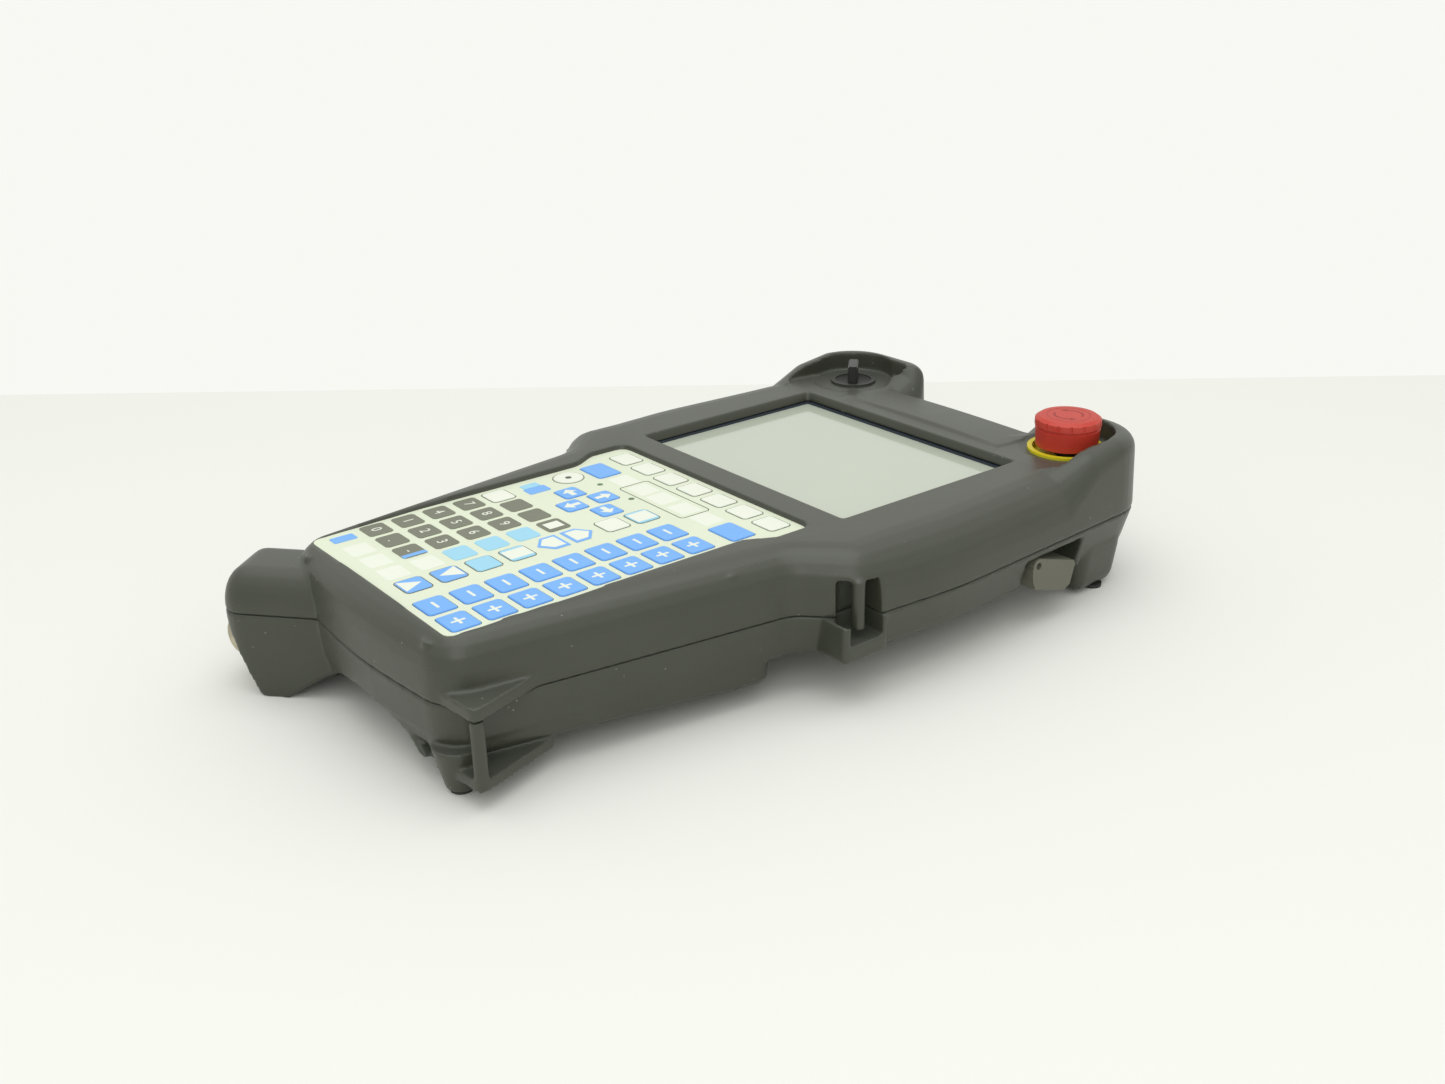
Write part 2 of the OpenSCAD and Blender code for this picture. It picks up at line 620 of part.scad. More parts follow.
module estop_collar() placed() color([0.88, 0.84, 0.12]) translate([ear_x, ear_y, 0]) {
    difference() {
        union() {
            tube_z(ring_d, ear_floor, ring_top);
            tube_z(well_d + cup_wall, cup_bottom, ear_floor + 0.1);
            tube_z(stop_neck_d, neck_bottom, cup_bottom + 0.1);
        }
        tube_z(well_d, well_floor, ring_top + 1);
        tube_z(shaft_d + 2 * fit, neck_bottom - 1, ring_top);
    }
}
module estop_head() placed() color([0.78, 0.2, 0.16]) translate([ear_x, ear_y, 0]) {
    difference() {
        rotate_extrude($fn = 72) polygon([
            [0, head_bottom], [stop_d / 2 - 0.9, head_bottom], [stop_d / 2 - 0.3, head_bottom + 8],
            [stop_d / 2 - 0.9, head_bottom + 8.4], [stop_d / 2 - 0.9, head_bottom + 9],
            [stop_d / 2, head_bottom + 9.4], [stop_d / 2 - 0.1, head_top - 1.4], [stop_d / 2 - 1.8, head_top - 0.2],
            [stop_d / 2 - 4, head_top], [0, head_top]
        ]);
        tube_z(shaft_d + 2 * fit, head_bottom - 1, head_top - 4);
        for (k = [0:15]) rotate([0, 0, k * 22.5]) translate([stop_d / 2 + 0.25, 0, 0])
            tube_z(1.5, head_top - 3.6, head_top - 1.2);
    }
}
module estop_plunger() placed() color([0.2, 0.2, 0.2]) translate([ear_x, ear_y, 0]) {
    tube_z(shaft_d, neck_bottom + stop_travel + 0.6, head_top - 4.1);
}
module estop_body() placed() color([0.18, 0.18, 0.19]) translate([ear_x, ear_y, 0]) {
    plate(24, 24, 2, neck_bottom - 13, neck_bottom);
}
module estop_nut() placed() color([0.7, 0.7, 0.68]) translate([ear_x, ear_y, 0]) {
    difference() {
        translate([0, 0, boss_bottom - 3]) cylinder(d = stop_neck_d + 7, h = 3, $fn = 6);
        tube_z(stop_neck_d + 2 * fit, boss_bottom - 4, boss_bottom + 1);
    }
}

module enable_bezel() placed() color([0.16, 0.17, 0.16]) translate([-ear_x, ear_y, 0]) {
    difference() {
        union() {
            tube_z(bezel_d, ear_floor, ear_floor + 1.2);
            tube_z(bezel_neck, enable_neck_bottom, ear_floor + 0.1);
        }
        tube_z(enable_d + 2 * fit, disc_floor, ear_floor + 2);
        tube_z(stem_d + 2 * fit, enable_neck_bottom - 1, disc_floor + 1);
    }
}
module enable_lever() placed() color([0.10, 0.10, 0.10]) translate([-ear_x, ear_y, 0]) {
    tube_z(stem_d, enable_neck_bottom + 0.3, disc_floor + 0.5);
    tube_z(enable_d, disc_floor + 0.3, disc_z);
    rotate([0, 0, 135]) {
        plate(blade_l, blade_w, 1.2, disc_z - 0.1, disc_z + 8);
        plate(blade_l - 1, blade_w - 1, 0.8, disc_z + 8, disc_z + 8.6);
    }
}
module enable_body() placed() color([0.18, 0.18, 0.19]) translate([-ear_x, ear_y, 0]) {
    plate(22, 22, 2, enable_neck_bottom - 15, enable_neck_bottom);
}
module enable_nut() placed() color([0.7, 0.7, 0.68]) translate([-ear_x, ear_y, 0]) {
    difference() {
        translate([0, 0, boss_bottom - 3]) cylinder(d = bezel_neck + 7, h = 3, $fn = 6);
        tube_z(bezel_neck + 2 * fit, boss_bottom - 4, boss_bottom + 1);
    }
}

module deadman_lever() translate([0, hinge_y, hinge_z]) rotate([-lever_tilt, 0, 0]) {
    difference() {
        union() {
            translate([lever_out, 0, 0]) rotate([0, -90, 0]) linear_extrude(lever_reach)
                polygon([[lever_up, 0], [lever_up, lever_l - 1.5], [lever_up - 1.5, lever_l],
                         [lever_up - lever_t + 3, lever_l], [lever_up - lever_t, lever_l - 3],
                         [lever_up - lever_t, 2], [lever_up - lever_t + 3, -1], [-2, -lever_up]]);
            translate([lever_out - lever_reach, 0, 0]) rotate([0, 90, 0]) cylinder(r = lever_up, h = lever_reach);
        }
        translate([lever_out - lever_reach - 1, 0, 0]) rotate([0, 90, 0])
            cylinder(d = pin_d + 2 * fit, h = lever_reach + 2);
    }
}
module deadman_lever_right() placed() color([0.47, 0.47, 0.42]) deadman_lever();
module deadman_lever_left() placed() color([0.47, 0.47, 0.42]) mirror([1, 0, 0]) deadman_lever();
module deadman_pins() placed() color([0.75, 0.75, 0.74]) {
    both_sides() translate([bay_in - 3.5, hinge_y, hinge_z]) rotate([0, 90, 0])
        cylinder(d = pin_d, h = lever_out - bay_in + 1.5);
}
module deadman_plunger() translate([push_x, push_y, 0]) {
    tube_z(push_d, push_rest + 1.8, part_z + 3);
    translate([0, 0, push_rest + 1.8]) sphere(d = push_d);
}
module deadman_plunger_right() placed() color([0.3, 0.3, 0.28]) deadman_plunger();
module deadman_plunger_left() placed() color([0.3, 0.3, 0.28]) mirror([1, 0, 0]) deadman_plunger();
module deadman_switches() placed() color([0.13, 0.13, 0.14]) {
    both_sides() translate([push_x, push_y, 0]) difference() {
        plate(switch_w, switch_l, 1, switch_z0, switch_z0 + 13);
        tube_z(push_d + 2 * fit, switch_z0 - 1, part_z + 8);
    }
}

module connector_shell() placed() color([0.72, 0.68, 0.55]) on_conn() {
    difference() {
        union() {
            tube_z(barrel_d + 4, 0, flange_t);
            tube_z(barrel_d, flange_t - 0.1, conn_out);
            tube_z(barrel_d - 2, -8, 0.1);
        }
        tube_z(barrel_d - 3, mouth_floor, conn_out + 1);
        tube_z(barrel_d - 5, -9, conn_out);
    }
}
module connector_insert() placed() color([0.12, 0.12, 0.12]) on_conn() difference() {
    tube_z(barrel_d - 5 - 0.1, -1, mouth_floor - 0.1);
    for (k = [0:7]) rotate([0, 0, k * 45]) translate([4, 0, 0]) tube_z(1.1, -2, 4);
}
module connector_contacts() placed() color([0.85, 0.7, 0.35]) on_conn() {
    for (k = [0:7]) rotate([0, 0, k * 45]) translate([4, 0, 0]) tube_z(1, -4, mouth_floor - 0.1);
}
module connector_nut() placed() color([0.7, 0.7, 0.68]) on_conn() difference() {
    translate([0, 0, -wall - 0.2 - 2.6]) cylinder(d = barrel_d + 4, h = 2.6, $fn = 6);
    tube_z(barrel_d - 2 + 2 * fit, -9, 1);
}

module at_port() translate([-grip_x(port_y0) - 0.2, port_y0, port_z]) rotate([0, 0, port_turn]) children();
module port_window() at_port() translate([-4, 18, -3.5]) cube([14, 16, 7]);
module usb_port() placed() color([0.75, 0.76, 0.77]) at_port() difference() {
    translate([0.8, 18.4, -3.1]) cube([13, 15.2, 6.2]);
    translate([0, 19.2, -2.3]) cube([10, 13.6, 4.6]);
}
module usb_cover() placed() color([0.20, 0.21, 0.19]) at_port() rotate([0, 0, cover_lift]) {
    translate([-2.6, 3, -port_h / 2]) cube([2, port_l - 5, port_h]);
    translate([-1.6, port_l - 2, -port_h / 2]) cylinder(d = 2, h = port_h);
    translate([-1.6, 0, -port_h / 2]) cylinder(d = 2.6, h = port_h);
    translate([-2.6, 0, -port_h / 2]) cube([2, 3.2, port_h]);
}

module rubber_feet() placed() color([0.1, 0.1, 0.1]) {
    translate([foot_x, -9.5, 0]) tube_z(8.4, 0, 1.5);
    translate([-foot_x, -4.5, 0]) tube_z(8.4, 0, 1.5);
    both_sides() translate([ear_x + 20, ear_y - 1, 0]) tube_z(9, 0, 1.5);
}
module case_screws() placed() color([0.55, 0.55, 0.55]) {
    for (b = BOSSES) translate(b) difference() {
        union() {
            tube_z(2 * screw_d - 0.2, head_seat - 2.2, head_seat);
            tube_z(screw_d - 0.1, head_seat - 0.1, under_z - 7);
        }
        translate([0, 0, head_seat - 3]) cylinder(d = 2.4, h = 2, $fn = 6);
    }
}
module board_screws() placed() color([0.6, 0.6, 0.6]) {
    for (p = POSTS) translate(p) {
        tube_z(5, board_z + board_t, board_z + board_t + 1.8);
        tube_z(2.4, belly_z + 7, board_z + board_t + 0.1);
    }
}

front_housing();
rear_housing();
case_gasket();
keypad_overlay();
keypad_board();
key_domes();
lcd_module();
touch_panel();
display_frame();
main_board();
board_components();
status_leds();
estop_collar();
estop_head();
estop_plunger();
estop_body();
estop_nut();
enable_bezel();
enable_lever();
enable_body();
enable_nut();
deadman_lever_right();
deadman_lever_left();
deadman_pins();
deadman_plunger_right();
deadman_plunger_left();
deadman_switches();
connector_shell();
connector_insert();
connector_contacts();
connector_nut();
usb_port();
usb_cover();
rubber_feet();
case_screws();
board_screws();
for (c = [0:1], r = [0:7])
    color([0.48, 0.72, 1]) moving_key(KEYS_JOG[c * 8 + r]);
color([0.48, 0.72, 1]) moving_key(KEYS_SHIFT[0]);  // key_shift_left
color([0.48, 0.72, 1]) moving_key(KEYS_SHIFT[1]);  // key_shift_right
for (k = [0:3])
    color([0.9, 0.93, 0.9]) moving_key(KEYS_ARROW[k]);
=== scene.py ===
import math
import bmesh
import bpy
from mathutils import Matrix, Vector


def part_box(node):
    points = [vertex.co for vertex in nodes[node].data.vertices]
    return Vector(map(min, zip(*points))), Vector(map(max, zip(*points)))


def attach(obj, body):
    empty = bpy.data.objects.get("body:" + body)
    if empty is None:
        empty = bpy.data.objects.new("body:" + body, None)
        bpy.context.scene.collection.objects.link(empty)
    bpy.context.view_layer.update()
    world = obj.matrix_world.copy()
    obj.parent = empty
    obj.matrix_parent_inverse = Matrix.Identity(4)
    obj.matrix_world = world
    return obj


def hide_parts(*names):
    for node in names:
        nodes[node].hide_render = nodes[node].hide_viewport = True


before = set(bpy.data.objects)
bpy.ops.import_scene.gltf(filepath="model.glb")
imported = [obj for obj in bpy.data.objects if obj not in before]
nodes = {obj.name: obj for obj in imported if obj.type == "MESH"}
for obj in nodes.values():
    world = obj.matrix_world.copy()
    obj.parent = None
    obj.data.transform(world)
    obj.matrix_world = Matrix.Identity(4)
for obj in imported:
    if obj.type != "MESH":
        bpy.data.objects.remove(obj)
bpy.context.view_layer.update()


# Case halves: two mouldings in charcoal olive plastic with a soft grain, closed on a fine seam.
# The upper half carries the deck, the ears and their guard rims, the lower half the belly and posts.


def wear_group():
    """Specks, slow tone and fine grain, shared by every moulded surface."""
    g = bpy.data.node_groups.new("moulded_wear", "ShaderNodeTree")
    for name in ("Tone", "Specks", "Grain"):
        g.interface.new_socket(name, in_out="OUTPUT", socket_type="NodeSocketFloat")
    n, link = g.nodes, g.links.new
    out = n.new("NodeGroupOutput")
    at = n.new("ShaderNodeTexCoord")
    tone = n.new("ShaderNodeTexNoise")
    tone.inputs["Scale"].default_value = 38
    tone.inputs["Detail"].default_value = 6
    link(at.outputs["Object"], tone.inputs["Vector"])
    link(tone.outputs[0], out.inputs["Tone"])
    cells = n.new("ShaderNodeTexVoronoi")
    cells.inputs["Scale"].default_value = 330
    link(at.outputs["Object"], cells.inputs["Vector"])
    near = n.new("ShaderNodeMapRange")
    near.inputs["From Min"].default_value = 0.13
    near.inputs["From Max"].default_value = 0.07
    link(cells.outputs["Distance"], near.inputs["Value"])
    where = n.new("ShaderNodeTexNoise")
    where.inputs["Scale"].default_value = 120
    link(at.outputs["Object"], where.inputs["Vector"])
    some = n.new("ShaderNodeMapRange")
    some.inputs["From Min"].default_value = 0.6
    some.inputs["From Max"].default_value = 0.68
    link(where.outputs[0], some.inputs["Value"])
    both = n.new("ShaderNodeMath")
    both.operation = "MULTIPLY"
    link(near.outputs[0], both.inputs[0])
    link(some.outputs[0], both.inputs[1])
    link(both.outputs[0], out.inputs["Specks"])
    grain = n.new("ShaderNodeTexNoise")
    grain.inputs["Scale"].default_value = 1500
    grain.inputs["Detail"].default_value = 2
    link(at.outputs["Object"], grain.inputs["Vector"])
    link(grain.outputs[0], out.inputs["Grain"])
    return g


WEAR = wear_group()


def finish(
    name, colour, rough, dirt=None, tone=0.25, specks=0.0, grain=0.1, metal=0.0, up=None, coat=0.0
):
    """Procedural finish: slow tone, specks, fine grain, and painted top light, a lighter colour where the
    surface faces up.
    """
    m = bpy.data.materials.new(name)
    m.use_nodes = True
    n, link = m.node_tree.nodes, m.node_tree.links.new
    skin = n["Principled BSDF"]
    skin.inputs["Roughness"].default_value = rough
    skin.inputs["Metallic"].default_value = metal
    skin.inputs["Coat Weight"].default_value = coat
    wear = n.new("ShaderNodeGroup")
    wear.node_tree = WEAR
    dirt = dirt or [c * 0.6 for c in colour]

    def mix(a, b, factor, strength=1.0):
        x = n.new("ShaderNodeMix")
        x.data_type = "RGBA"
        for socket, value in ((x.inputs[6], a), (x.inputs[7], b)):
            if isinstance(value, (list, tuple)):
                socket.default_value = (*value[:3], 1)
            else:
                link(value, socket)
        s = n.new("ShaderNodeMath")
        s.operation = "MULTIPLY"
        s.inputs[1].default_value = strength
        link(factor, s.inputs[0])
        link(s.outputs[0], x.inputs[0])
        return x.outputs[2]

    base = mix(colour, dirt, wear.outputs["Tone"], tone)
    # Painted top light: up-facing surfaces are mixed toward the up colour, lighter tops standing in for the
    # light from above.
    if up:
        geo = n.new("ShaderNodeNewGeometry")
        z = n.new("ShaderNodeSeparateXYZ")
        link(geo.outputs["Normal"], z.inputs[0])
        painted_top_light_mask = n.new("ShaderNodeMapRange")
        painted_top_light_mask.inputs["From Min"].default_value = 0.35
        painted_top_light_mask.inputs["From Max"].default_value = 0.95
        link(z.outputs[2], painted_top_light_mask.inputs["Value"])
        base = mix(base, up, painted_top_light_mask.outputs[0], 0.85)
    if specks:
        base = mix(base, (0.62, 0.61, 0.55), wear.outputs["Specks"], specks)
    link(base, skin.inputs["Base Color"])
    bump = n.new("ShaderNodeBump")
    bump.inputs["Strength"].default_value = grain
    bump.inputs["Distance"].default_value = 0.0002
    link(wear.outputs["Grain"], bump.inputs["Height"])
    link(bump.outputs[0], skin.inputs["Normal"])
    return m


def piece(name, bm, material, body):
    """A shown piece that rides a CAD body."""
    mesh = bpy.data.meshes.new(name)
    bmesh.ops.recalc_face_normals(bm, faces=bm.faces)
    bm.to_mesh(mesh)
    bm.free()
    mesh.materials.append(material)
    o = bpy.data.objects.new(name, mesh)
    bpy.context.scene.collection.objects.link(o)
    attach(o, body)
    return o


# The up colour is painted top light: tops of the case are tinted lighter than its sides, standing in for
# light from above.
HOUSING = finish(
    "housing",
    (0.056, 0.061, 0.045),
    0.36,
    dirt=(0.028, 0.031, 0.021),
    tone=0.5,
    specks=0.35,
    grain=0.35,
    up=(0.076, 0.081, 0.067),
)
WELD = 0.00001  # metres, points this near are one
VOXEL = 0.0008  # metres, grain of the softened skin
KEPT_FACES = 0.14  # share of the skin's faces left after thinning
for name in ("front_housing", "rear_housing"):
    bm = bmesh.new()
    bm.from_mesh(nodes[name].data)
    bmesh.ops.remove_doubles(bm, verts=bm.verts, dist=WELD)
    shell = piece("moulded_" + name, bm, HOUSING, "case")
    voxels = shell.modifiers.new("voxels", "REMESH")
    voxels.mode = "VOXEL"
    voxels.voxel_size = VOXEL
    voxels.use_smooth_shade = True
    soft = shell.modifiers.new("soft", "SMOOTH")
    soft.factor = 0.5
    soft.iterations = 5
    lighter = shell.modifiers.new("lighter", "DECIMATE")
    lighter.ratio = KEPT_FACES
    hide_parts(name)

# Gasket, feet, boards, cans and fixings: black rubber, green laminate, black mouldings and steel.
# All but the feet and the case screws lie inside the closed case.


def dress(material, *names):
    """Gives CAD nodes their finish."""
    for name in names:
        o = nodes[name]
        o.data.materials.clear()
        o.data.materials.append(material)


RUBBER = finish("black_rubber", (0.03, 0.03, 0.03), 0.7)
BOARD = finish("circuit_board", (0.02, 0.1, 0.05), 0.4)
BLACK = finish("black_moulding", (0.022, 0.022, 0.022), 0.4, grain=0.05)
STEEL = finish("plain_steel", (0.6, 0.6, 0.6), 0.35, metal=1.0)
CAN = finish("metal_can", (0.5, 0.51, 0.52), 0.35, metal=1.0)
dress(RUBBER, "case_gasket", "rubber_feet")
dress(BOARD, "keypad_board", "main_board")
dress(BLACK, "board_components", "estop_body", "enable_body", "deadman_switches")
dress(BLACK, "connector_insert", "estop_plunger")
dress(STEEL, "key_domes", "estop_nut", "enable_nut", "deadman_pins")
dress(STEEL, "connector_nut", "case_screws", "board_screws")
dress(CAN, "lcd_module", "usb_port")

# Screen: a grey-green touch panel lying below a bevelled window in the deck.
# A dark inner frame closes the gap round its edge.
SCREEN = finish("screen_glass", (0.55, 0.6, 0.5), 0.12, tone=0.08, grain=0.0, coat=0.6)
dress(SCREEN, "touch_panel")
dress(finish("inner_frame", (0.02, 0.03, 0.045), 0.5, tone=0.1), "display_frame")

# Membrane keypad: one printed polyester film glued in a shallow recess, its keys embossed.
# The keys that stay part of the film are laid on it here, one mesh for each printing colour.


def prism(bm, points, z0, z1):
    """Closed prism over a plan outline."""
    low = [bm.verts.new((x, y, z0)) for x, y in points]
    high = [bm.verts.new((x, y, z1)) for x, y in points]
    n = len(points)
    bm.faces.new(low[::-1])
    bm.faces.new(high)
    for i in range(n):
        bm.faces.new((low[i], low[(i + 1) % n], high[(i + 1) % n], high[i]))


def round_rect(x, y, w, l, r):
    """Outline of a plate with round corners."""
    pts = []
    dx, dy = w / 2 - r, l / 2 - r
    for cx, cy, start in ((dx, dy, 0), (-dx, dy, 90), (-dx, -dy, 180), (dx, -dy, 270)):
        for k in range(7):
            a = math.radians(start + 15 * k)
            pts.append((x + (cx + r * math.cos(a)), y + (cy + r * math.sin(a))))
    return pts


def ring(bm, x, y, w, l, r, t, z0, z1):
    """Thin closed frame between two rounded rectangles."""
    a = round_rect(x, y, w, l, r)
    b = round_rect(x, y, w - 2 * t, l - 2 * t, max(r - t, 0.0002))
    n = len(a)
    v = [[bm.verts.new((px, py, z)) for px, py in q] for q, z in ((a, z0), (a, z1), (b, z1), (b, z0))]
    for k in range(4):
        p, q = v[k], v[(k + 1) % 4]
        for i in range(n):
            bm.faces.new((p[i], p[(i + 1) % n], q[(i + 1) % n], q[i]))


FILM = finish("film", (0.78, 0.84, 0.67), 0.5, dirt=(0.62, 0.68, 0.52), tone=0.35, specks=0.0, grain=0.12)
WHITE = finish("printed_white", (0.86, 0.9, 0.8), 0.45, tone=0.15)
BLUE = finish("printed_blue", (0.195, 0.474, 0.98), 0.45, dirt=(0.14, 0.36, 0.8), tone=0.4)
PALE = finish("printed_pale_blue", (0.352, 0.70, 0.91), 0.45, tone=0.15)
DARK = finish("printed_dark", (0.2, 0.21, 0.155), 0.5, tone=0.3)
INK = finish("printed_ink", (0.10, 0.11, 0.09), 0.5)
dress(FILM, "keypad_overlay")
dress(finish("lamp_lens", (0.1, 0.2, 0.1), 0.15), "status_leds")

film_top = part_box("keypad_overlay")[1][2]
low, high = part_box("key_jog_1_1")
jog_low = (low[1] + high[1]) / 2
MM = 0.001
sheets = {k: bmesh.new() for k in ("white", "blue", "pale", "dark", "ink")}
PRINT = {"white": WHITE, "blue": BLUE, "pale": PALE, "dark": DARK, "ink": INK}


def key(colour, x, y, w=11.4, l=10.2, r=1.6, z1=0.25, line=None):
    """A raised key on the film, with a printed line round it if a colour is given for one."""
    cx, cy = x * MM, jog_low + y * MM
    outline = round_rect(cx, cy, w * MM, l * MM, r * MM)
    prism(sheets[colour], outline, film_top, film_top + z1 * MM)
    if line:
        w, l, r = (w + 1.1) * MM, (l + 1.1) * MM, (r + 0.5) * MM
        ring(sheets[line], cx, cy, w, l, r, 0.4 * MM, film_top, film_top + 0.06 * MM)


def shape(colour, x, y, points, z=0.3):
    """A printed shape on or beside a key."""
    outline = [((x + px) * MM, jog_low + (y + py) * MM) for px, py in points]
    prism(sheets[colour], outline, film_top + 0.02 * MM, film_top + z * MM)


def digit(bm, text, at, size):
    """A printed digit or sign."""
    curve = bpy.data.curves.new("digit", "FONT")
    curve.body = text
    curve.size = size
    curve.align_x = "CENTER"
    curve.align_y = "CENTER"
    curve.extrude = 0.00002
    o = bpy.data.objects.new("digit", curve)
    bpy.context.scene.collection.objects.link(o)
    bpy.context.view_layer.update()
    mesh = bpy.data.meshes.new_from_object(o)
    mesh.transform(Matrix.Translation(at))
    bm.from_mesh(mesh)
    bpy.data.objects.remove(o)


COLUMNS = (-48.3, -34.2, -20.2, -6.0)
FIRST_ROW = 1.9
ROW_PITCH = 13.85
FLAT = 0.06  # height of a key that is printed but not embossed
GRID = (
    ("blue", "flat", "flat", "flat"),
    ("dark", "dark", "dark", "flat"),
    ("dark", "dark", "dark", "pale"),
    ("dark", "dark", "dark", "pale"),
    ("dark", "dark", "dark", "pale"),
    ("white", "dark", "dark", "dark"),
)
DIGITS = {
    (row, col): mark
    for row, marks in enumerate(("0.-", "123", "456", "789"), 1)
    for col, mark in enumerate(marks)
}
for row, colours in enumerate(GRID):
    for col, colour in enumerate(colours):
        x, y = COLUMNS[col], FIRST_ROW + ROW_PITCH * row
        if (row, col) == (0, 0):
            key("blue", x, y, 5.6, 9.6, 0.8)
        elif colour == "flat":
            key("white", x, y, 11.2, 9.8, 0.8, z1=FLAT)
        else:
            key(colour, x, y, line="ink" if colour == "white" else None)
        if (row, col) in DIGITS:
            at = (x * MM, jog_low + y * MM, film_top + 0.29 * MM)
            digit(sheets["white"], DIGITS[row, col], at, 0.0062)
shape("blue", COLUMNS[2] + 2.8, 15.75, [(0, -5), (2.6, -5), (2.6, 5), (0, 5)])
shape("white", COLUMNS[3], FIRST_ROW + ROW_PITCH * 5, [(-3, -3.4), (3, -3.4), (3, 3.4), (-3, 3.4)])
for y, up in ((2.4, 1), (16.8, -1)):
    key("blue", 8.7, y, line="ink")
    shape("white", 8.7, y, [(-5, -4.6 * up), (4.2, -4.6 * up), (-0.4, 3.6 * up)][:: up])
key("pale", 8.7, 31.4, line="ink")
key("pale", 8.7, 45.9, line="ink")
shape("white", 8.7, 45.9, [(-4, -5), (4, -5), (4, 5), (-4, 5)])
for y, up in ((60.9, -1), (73.5, 1)):
    outer = [(-6.2, -5 * up), (6.2, -5 * up), (6.2, 1.6 * up), (0, 6.2 * up), (-6.2, 1.6 * up)]
    shape("blue", 8.7, y, outer[:: up], z=0.22)
    shape("white", 8.7, y, [(0.76 * px, 0.76 * py) for px, py in outer][:: up], z=0.3)
key("white", 8.7, 89.1, line="ink")
key("pale", 9.4, 102.9, line="ink")
shape("white", 9.4, 102.9, [(-4.4, -4.6), (4.4, -4.6), (4.4, 4.6), (-4.4, 4.6)])
key("white", -47.2, 104.7, 12.6, 12.6, 6.2, line="ink")
dot = [(1.4 * math.cos(a * math.pi / 8), 1.4 * math.sin(a * math.pi / 8)) for a in range(16)]
shape("ink", -47.2, 104.7, dot)
key("pale", -49.6, 87.1, 4.6, 8, 0.6)
key("blue", -43.8, 87.1, 6.4, 10, 0.6)
for x in (-28.5, -14.7, -1.1, 13.9, 28.4):
    key("white", x, 120.8, 11.8, 9.6, 0.8, z1=FLAT)
trio_y = jog_low + 120.8 * MM
ring(sheets["ink"], -0.4 * MM, trio_y, 0.0445, 0.0148, 0.002, 0.0004, film_top, film_top + 0.00006)
for k in range(7):
    key("white", -50 + 16.5 * k, 136.7, 12.6, 9.8, line="ink")
for colour, bm in sheets.items():
    piece("film_print_" + colour, bm, PRINT[colour], "case")

# Moving keys: blue jog keys in two columns with minus and plus marks, two blue shift keys and
# four arrow keys. Each mark travels with its own key.
SUNK, PROUD = 0.00005, 0.00006  # metres a mark goes below and above its key's top
for c in (1, 2):
    for r in range(1, 9):
        name = f"key_jog_{c}_{r}"
        dress(BLUE, name)
        low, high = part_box(name)
        x, y, z = (low[0] + high[0]) / 2, (low[1] + high[1]) / 2, high[2]
        bm = bmesh.new()
        prism(bm, round_rect(x, y, 0.0056, 0.0011, 0.0003), z - SUNK, z + PROUD)
        if c == 2:
            prism(bm, round_rect(x, y, 0.0011, 0.0056, 0.0003), z - SUNK, z + 0.00007)
        piece(name + "_mark", bm, WHITE, name)
for name in ("key_shift_left", "key_shift_right"):
    dress(BLUE, name)
for k, turn in enumerate((90, 180, 0, -90), 1):
    name = f"key_arrow_{k}"
    dress(BLUE, name)
    low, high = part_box(name)
    x, y, z = (low[0] + high[0]) / 2, (low[1] + high[1]) / 2, high[2]
    spin = Matrix.Rotation(math.radians(turn), 2)
    bm = bmesh.new()
    half = [(0.0012, -0.0036), (0.0012, 0.0002), (0.0033, 0.0002)]
    arrow = [(-0.0012, -0.0036), *half, (0, 0.0038), (-0.0033, 0.0002), (-0.0012, 0.0002)]
    outline = [spin @ Vector(q) for q in arrow]
    prism(bm, [(x + p.x, y + p.y) for p in outline], z - SUNK, z + PROUD)
    piece(name + "_mark", bm, WHITE, name)

# Stop button: red mushroom head over a yellow ring. The arrows moulded into its top show the way
# it is turned to let it spring back.
RED = finish("stop_red", (0.58, 0.045, 0.026), 0.42, dirt=(0.4, 0.03, 0.02), tone=0.4, specks=0.25, grain=0.1)
dress(RED, "estop_head")
YELLOW = finish("stop_yellow", (0.75, 0.66, 0.015), 0.45, dirt=(0.5, 0.42, 0.02), tone=0.4)
dress(YELLOW, "estop_collar")
low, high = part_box("estop_head")
cx, cy, top = (low[0] + high[0]) / 2, (low[1] + high[1]) / 2, high[2]
bm = bmesh.new()


def arc_strip(bm, r0, r1, a0, a1, head=False):
    """A curved strip on the head, with an arrow point at its end if asked."""
    steps = 24
    z0, z1 = top - 0.0001, top + 0.00003
    turns = [math.radians(a0 + (a1 - a0) * k / steps) for k in range(steps + 1)]
    outer = [(cx + r1 * math.cos(a), cy + r1 * math.sin(a)) for a in turns]
    inner = [(cx + r0 * math.cos(a), cy + r0 * math.sin(a)) for a in turns]
    for k in range(steps):
        prism(bm, [inner[k], outer[k], outer[k + 1], inner[k + 1]], z0, z1)
    if head:
        rm, a = (r0 + r1) / 2, math.radians(a1)
        t = Vector((-math.sin(a), math.cos(a)))
        o = Vector((math.cos(a), math.sin(a)))
        at = Vector((cx, cy)) + o * rm
        prism(bm, [tuple(at - o * 0.0016), tuple(at + o * 0.0016), tuple(at + t * 0.003)], z0, z1)


# Painted shade: the ring and the two moulded arrows are flush strips of darker red, standing in for the shade
# of their relief on the red head.
arc_strip(bm, 0.0092, 0.0095, 0, 360)
arc_strip(bm, 0.0056, 0.0066, 20, 135, True)
arc_strip(bm, 0.0056, 0.0066, 200, 315, True)
STOP_RELIEF_SHADE = finish("stop_relief_painted_shade", (0.34, 0.02, 0.015), 0.5)
piece("stop_head_arrows", bm, STOP_RELIEF_SHADE, "stop_head")

# Enable switch: a black blade on a disc that turns a quarter in a plain round bezel.
# The bezel's neck goes through the ear and a nut holds it from below.
dress(finish("bezel", (0.05, 0.052, 0.045), 0.45), "enable_bezel")
dress(finish("handle", (0.02, 0.02, 0.02), 0.35, dirt=(0.05, 0.05, 0.05), specks=0.3), "enable_lever")

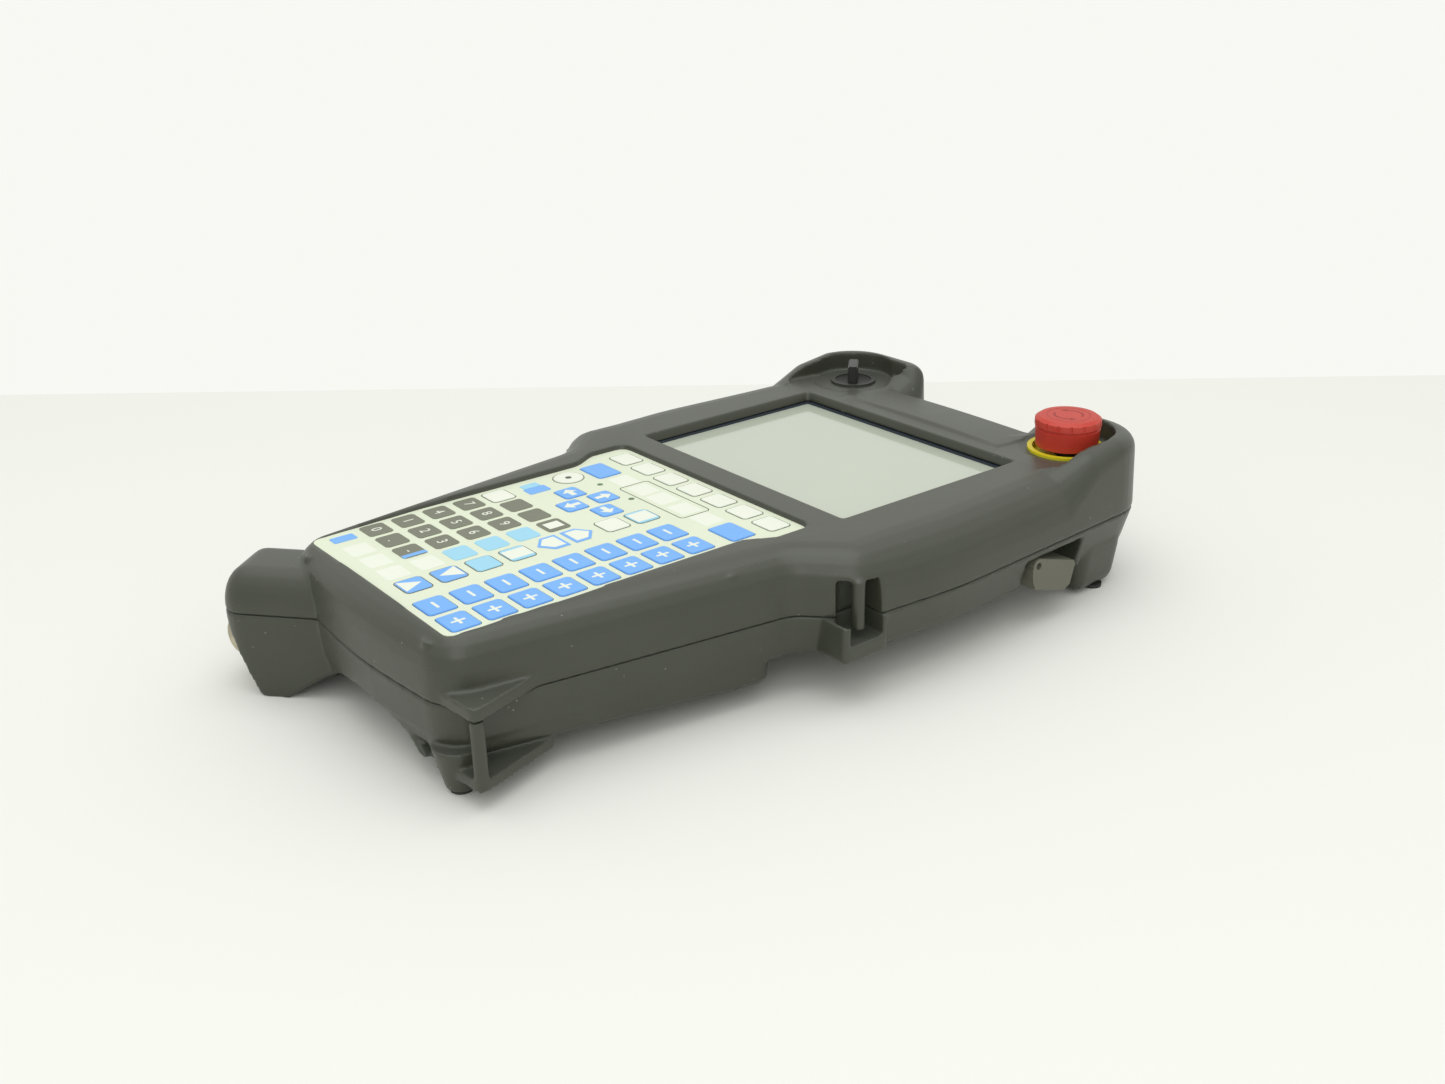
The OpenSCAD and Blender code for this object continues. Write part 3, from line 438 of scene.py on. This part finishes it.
# Squeeze levers: worn grey-green mouldings on steel pins, one under each hand.
# Each pushes a short black plunger into the switch above it.
LEVER = finish("lever", (0.14, 0.142, 0.108), 0.6, dirt=(0.11, 0.11, 0.08), tone=0.5, specks=0.6)
dress(LEVER, "deadman_lever_right", "deadman_lever_left")
dress(BLACK, "deadman_plunger_right", "deadman_plunger_left")

# Cable connector: a plated barrel and flange on the slanted corner block, held by a nut inside.
# Gilt sockets stand in a black insert at the bottom of the barrel.
PLATED = finish("plated_brass", (0.56, 0.52, 0.4), 0.3, dirt=(0.3, 0.27, 0.18), tone=0.5, metal=1.0)
dress(PLATED, "connector_shell")
dress(finish("gold", (0.8, 0.62, 0.25), 0.3, metal=1.0), "connector_contacts")

# Port flap: one long strip of soft brown-grey rubber on the left wall.
# It bends open to uncover the plug socket behind it.
dress(finish("flap", (0.085, 0.08, 0.06), 0.65, specks=0.4), "usb_cover")

# Setting: a pale table top that ends a little behind the object, in a white room.
# One wide soft lamp lights it from above and a smaller one from the side.
pale = bpy.data.materials.new("table_top")
pale.use_nodes = True
pale.node_tree.nodes["Principled BSDF"].inputs["Base Color"].default_value = (0.86, 0.865, 0.83, 1)
pale.node_tree.nodes["Principled BSDF"].inputs["Roughness"].default_value = 0.8
back_edge, along, forward = Vector((-0.557, -0.146)), Vector((0.635, 0.772)), Vector((0.772, -0.635))
bm = bmesh.new()
left_end, right_end = back_edge - along * 5, back_edge + along * 6
plan = (left_end, left_end + forward * 6, right_end + forward * 6, right_end)
bm.faces.new([bm.verts.new((p.x, p.y, 0)) for p in plan])
floor_mesh = bpy.data.meshes.new("floor")
bmesh.ops.recalc_face_normals(bm, faces=bm.faces)
bm.to_mesh(floor_mesh)
bm.free()
floor_mesh.materials.append(pale)
floor = bpy.data.objects.new("floor", floor_mesh)
bpy.context.scene.collection.objects.link(floor)

world = bpy.data.worlds.new("world")
bpy.context.scene.world = world
world.use_nodes = True
wn, wl = world.node_tree.nodes, world.node_tree.links.new
back = wn["Background"]
back.inputs["Color"].default_value = (0.94, 0.945, 0.9, 1)
path = wn.new("ShaderNodeLightPath")
level = wn.new("ShaderNodeMapRange")
level.inputs["To Min"].default_value = 0.78
level.inputs["To Max"].default_value = 1.0
wl(path.outputs["Is Camera Ray"], level.inputs["Value"])
wl(level.outputs[0], back.inputs["Strength"])


def area(name, at, aim, size, watts):
    lamp = bpy.data.lights.new(name, "AREA")
    lamp.size = size
    lamp.energy = watts
    o = bpy.data.objects.new(name, lamp)
    o.location = at
    o.rotation_euler = (Vector(aim) - Vector(at)).to_track_quat("-Z", "Y").to_euler()
    bpy.context.scene.collection.objects.link(o)


area("soft_top", (0.1, -0.1, 1.6), (0, 0, 0), 1.6, 10)
area("soft_side", (1.2, -0.9, 1.0), (0, 0, 0.03), 1.0, 4)

lens = bpy.data.cameras.new("camera")
lens.lens = 37.02
lens.sensor_width = 36
camera = bpy.data.objects.new("camera", lens)
camera.matrix_world = Matrix((
    (0.619393, -0.295009, 0.727545, 0.4628),
    (0.784813, 0.256883, -0.563985, -0.3464),
    (-0.020513, 0.920316, 0.390638, 0.2792),
    (0, 0, 0, 1),
))
bpy.context.scene.collection.objects.link(camera)
bpy.context.scene.camera = camera
bpy.context.scene.view_settings.view_transform = "Standard"
